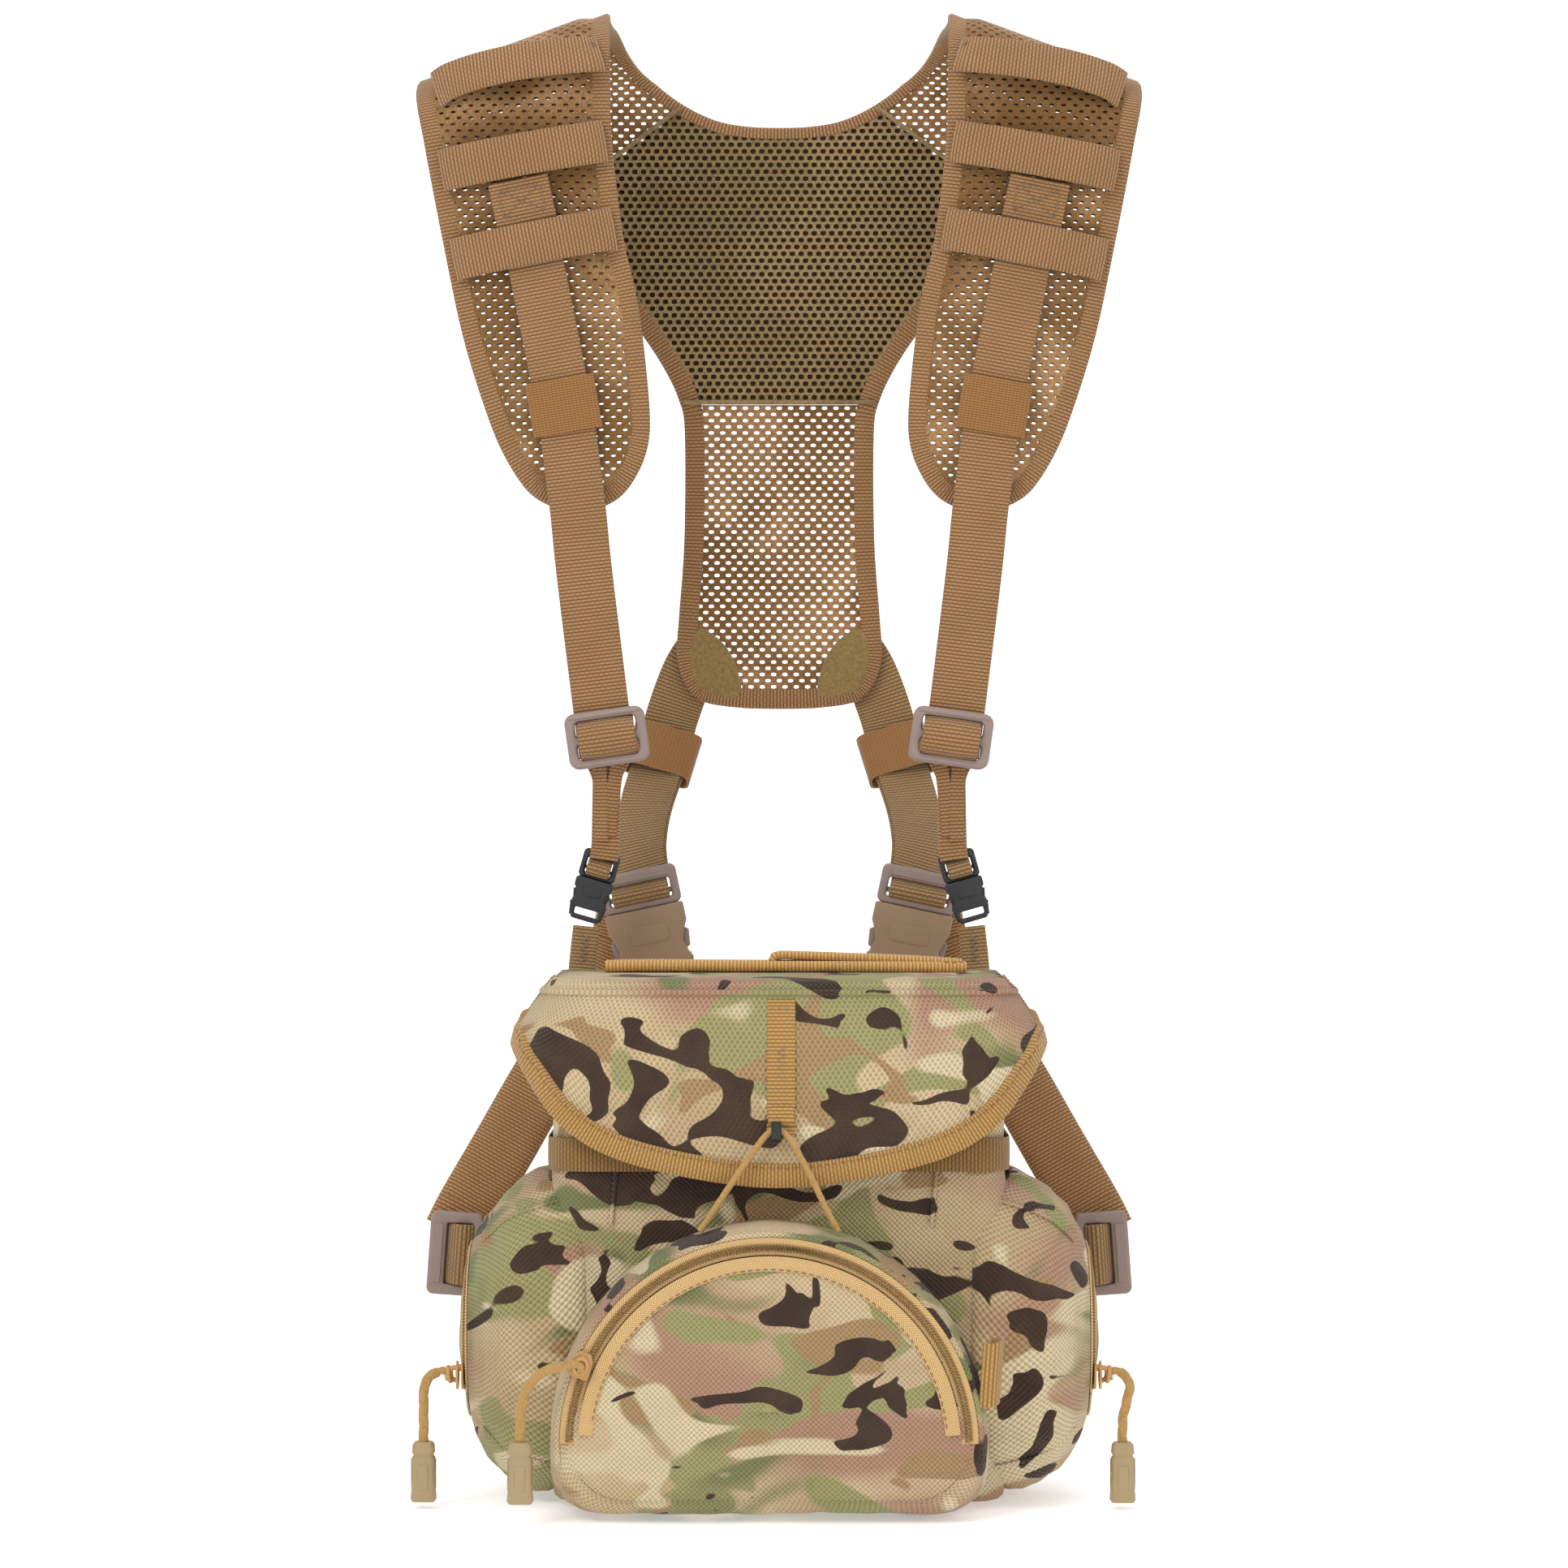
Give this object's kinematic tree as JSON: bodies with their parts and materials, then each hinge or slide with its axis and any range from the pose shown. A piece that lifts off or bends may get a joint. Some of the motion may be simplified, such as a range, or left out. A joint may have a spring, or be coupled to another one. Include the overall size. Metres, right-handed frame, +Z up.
{
  "type": "binocular harness pack",
  "caption": "Chest pack for binoculars with hooded lid, zipped front and side pockets, and a padded shoulder harness with side-release buckles.",
  "frame": {"origin": "on the ground, under the middle of the whole object", "axes": "+Z up along the harness, front of the pack towards -Y, wearer's back towards +Y, +X to the right seen from the front"},
  "size_m": [0.326, 0.2555, 0.6585],
  "materials": {
    "camo_fabric": "woven nylon with a soft and a crisp camouflage print",
    "foam": "soft lining over foam",
    "board": "plain plastic sheet",
    "spacer_mesh": "thick knitted spacer mesh with oval pits",
    "open_mesh": "open knitted mesh that shows light through",
    "gold_webbing": "ribbed nylon webbing",
    "coyote_webbing": "ribbed nylon webbing",
    "elastic": "ribbed woven elastic",
    "tan_plastic": "moulded acetal with a fine grain",
    "black_plastic": "moulded acetal",
    "black_metal": "black painted wire",
    "zipper_coil": "nylon coil on twill tape",
    "slider_metal": "painted die-cast",
    "braided_cord": "braided cord",
    "cord_end_rubber": "soft moulded plastic"
  },
  "bodies": {
    "pack": {"main_shell": "camo_fabric", "foam_liner": "foam", "base_board": "board", "back_panel": "spacer_mesh", "body_band": "gold_webbing", "front_pocket": "camo_fabric", "front_zipper": "zipper_coil", "pocket_tab": "gold_webbing", "side_pockets": "camo_fabric", "side_zippers": "zipper_coil", "left_shoulder_pad": "open_mesh", "right_shoulder_pad": "open_mesh", "pad_bindings": "coyote_webbing", "pad_loops": "coyote_webbing", "shoulder_straps": "coyote_webbing", "shoulder_bridges": "open_mesh", "yoke_pad": "spacer_mesh", "back_mesh": "open_mesh", "yoke_binding": "coyote_webbing", "lower_back_straps": "coyote_webbing", "folded_tabs": "coyote_webbing", "corner_straps": "coyote_webbing", "side_straps": "coyote_webbing", "left_small_female": "black_plastic", "right_small_female": "black_plastic", "left_mid_female": "tan_plastic", "right_mid_female": "tan_plastic", "left_side_female": "tan_plastic", "right_side_female": "tan_plastic"},
    "lid": {"lid_shell": "camo_fabric", "lid_binding": "gold_webbing", "lid_tab": "gold_webbing", "lid_hook": "black_metal"},
    "handle": {"carry_handle": "gold_webbing"},
    "bungee": {"bungee_cord": "braided_cord"},
    "front_flap": {"front_door": "camo_fabric"},
    "left_flap": {"left_door": "camo_fabric"},
    "right_flap": {"right_door": "camo_fabric"},
    "front_slider": {"front_slider": "slider_metal"},
    "front_pull": {"front_pull_cord": "braided_cord", "front_cord_end": "cord_end_rubber"},
    "left_slider": {"left_slider": "slider_metal"},
    "left_pull": {"left_pull_cord": "braided_cord", "left_cord_end": "cord_end_rubber"},
    "right_slider": {"right_slider": "slider_metal"},
    "right_pull": {"right_pull_cord": "braided_cord", "right_cord_end": "cord_end_rubber"},
    "left_adjuster": {"left_adjuster": "tan_plastic"},
    "left_pad_keeper": {"left_pad_keeper": "elastic"},
    "left_back_keeper": {"left_back_keeper": "elastic"},
    "left_small_latch": {"left_small_male": "black_plastic"},
    "left_mid_latch": {"left_mid_male": "tan_plastic"},
    "left_side_latch": {"left_side_male": "tan_plastic"},
    "right_adjuster": {"right_adjuster": "tan_plastic"},
    "right_pad_keeper": {"right_pad_keeper": "elastic"},
    "right_back_keeper": {"right_back_keeper": "elastic"},
    "right_small_latch": {"right_small_male": "black_plastic"},
    "right_mid_latch": {"right_mid_male": "tan_plastic"},
    "right_side_latch": {"right_side_male": "tan_plastic"}
  },
  "joints": [
    {"name": "lid_hinge", "type": "hinge", "parent": "pack", "child": "lid", "pos_m": [0, 0.01, 0.224], "axis": [-1, 0, 0], "range_deg": [0, 70]},
    {"name": "handle_lift", "type": "hinge", "parent": "lid", "child": "handle", "pos_m": [0, -0.026, 0.2224], "axis": [1, 0, 0], "range_deg": [0, 80]},
    {"name": "bungee_drop", "type": "hinge", "parent": "pack", "child": "bungee", "pos_m": [-0.004, -0.106, 0.116], "axis": [1, 0, 0], "range_deg": [0, 81], "deforming": ["bungee_cord"]},
    {"name": "front_door_hinge", "type": "hinge", "parent": "pack", "child": "front_flap", "pos_m": [-0.004, -0.119, 0.048], "axis": [1, 0, 0], "range_deg": [0, 70], "deforming": ["front_door"]},
    {"name": "left_door_hinge", "type": "hinge", "parent": "pack", "child": "left_flap", "pos_m": [-0.1345, -0.042, 0.05], "axis": [0, -1, 0], "range_deg": [0, 60], "deforming": ["left_door"]},
    {"name": "right_door_hinge", "type": "hinge", "parent": "pack", "child": "right_flap", "pos_m": [0.1345, -0.042, 0.05], "axis": [0, 1, 0], "range_deg": [0, 60], "deforming": ["right_door"]},
    {"name": "front_zip", "type": "hinge", "parent": "pack", "child": "front_slider", "pos_m": [-0.004, -0.119, 0.0294], "axis": [0, 1, 0], "range_deg": [0, 128]},
    {"name": "front_pull_swing", "type": "hinge", "parent": "front_slider", "child": "front_pull", "pos_m": [-0.082, -0.124, 0.064], "axis": [0, 1, 0], "range_deg": [-128, 0]},
    {"name": "left_zip", "type": "hinge", "parent": "pack", "child": "left_slider", "pos_m": [-0.131, -0.042, 0.07], "axis": [1, 0, 0], "range_deg": [-125, 0]},
    {"name": "left_pull_swing", "type": "hinge", "parent": "left_slider", "child": "left_pull", "pos_m": [-0.142, -0.075, 0.054], "axis": [1, 0, 0], "range_deg": [0, 125]},
    {"name": "right_zip", "type": "hinge", "parent": "pack", "child": "right_slider", "pos_m": [0.131, -0.042, 0.07], "axis": [1, 0, 0], "range_deg": [-125, 0]},
    {"name": "right_pull_swing", "type": "hinge", "parent": "right_slider", "child": "right_pull", "pos_m": [0.142, -0.075, 0.054], "axis": [1, 0, 0], "range_deg": [0, 125]},
    {"name": "left_strap_adjust", "type": "slide", "parent": "pack", "child": "left_adjuster", "axis": [-0.1243, 0, 0.9922], "range_m": [0, 0.06]},
    {"name": "left_pad_keeper_slide", "type": "slide", "parent": "pack", "child": "left_pad_keeper", "axis": [-0.1668, 0, 0.986], "range_m": [-0.02, 0.015]},
    {"name": "left_back_keeper_slide", "type": "slide", "parent": "pack", "child": "left_back_keeper", "axis": [-0.221, -0.5223, -0.8236], "range_m": [0, 0.006]},
    {"name": "left_small_release", "type": "slide", "parent": "pack", "child": "left_small_latch", "axis": [0.2756, 0, 0.9613], "range_m": [0, 0.016], "deforming": ["folded_tabs"]},
    {"name": "left_mid_release", "type": "slide", "parent": "pack", "child": "left_mid_latch", "axis": [-0.2079, 0, 0.9781], "range_m": [0, 0.03], "deforming": ["lower_back_straps"]},
    {"name": "left_side_release", "type": "slide", "parent": "pack", "child": "left_side_latch", "axis": [-0.9976, 0, 0.0698], "range_m": [0, 0.026], "deforming": ["side_straps"]},
    {"name": "right_strap_adjust", "type": "slide", "parent": "pack", "child": "right_adjuster", "axis": [0.1243, 0, 0.9922], "range_m": [0, 0.06]},
    {"name": "right_pad_keeper_slide", "type": "slide", "parent": "pack", "child": "right_pad_keeper", "axis": [0.1668, 0, 0.986], "range_m": [-0.02, 0.015]},
    {"name": "right_back_keeper_slide", "type": "slide", "parent": "pack", "child": "right_back_keeper", "axis": [0.221, -0.5223, -0.8236], "range_m": [0, 0.006]},
    {"name": "right_small_release", "type": "slide", "parent": "pack", "child": "right_small_latch", "axis": [-0.2756, 0, 0.9613], "range_m": [0, 0.016]},
    {"name": "right_mid_release", "type": "slide", "parent": "pack", "child": "right_mid_latch", "axis": [0.2079, 0, 0.9781], "range_m": [0, 0.03]},
    {"name": "right_side_release", "type": "slide", "parent": "pack", "child": "right_side_latch", "axis": [0.9976, 0, 0.0698], "range_m": [0, 0.026]}
  ],
  "couplings": [
    {"joint": "bungee_drop", "follows": "lid_hinge", "ratio": 1.15},
    {"joint": "front_pull_swing", "follows": "front_zip", "ratio": -1},
    {"joint": "left_pull_swing", "follows": "left_zip", "ratio": -1},
    {"joint": "right_pull_swing", "follows": "right_zip", "ratio": -1}
  ]
}
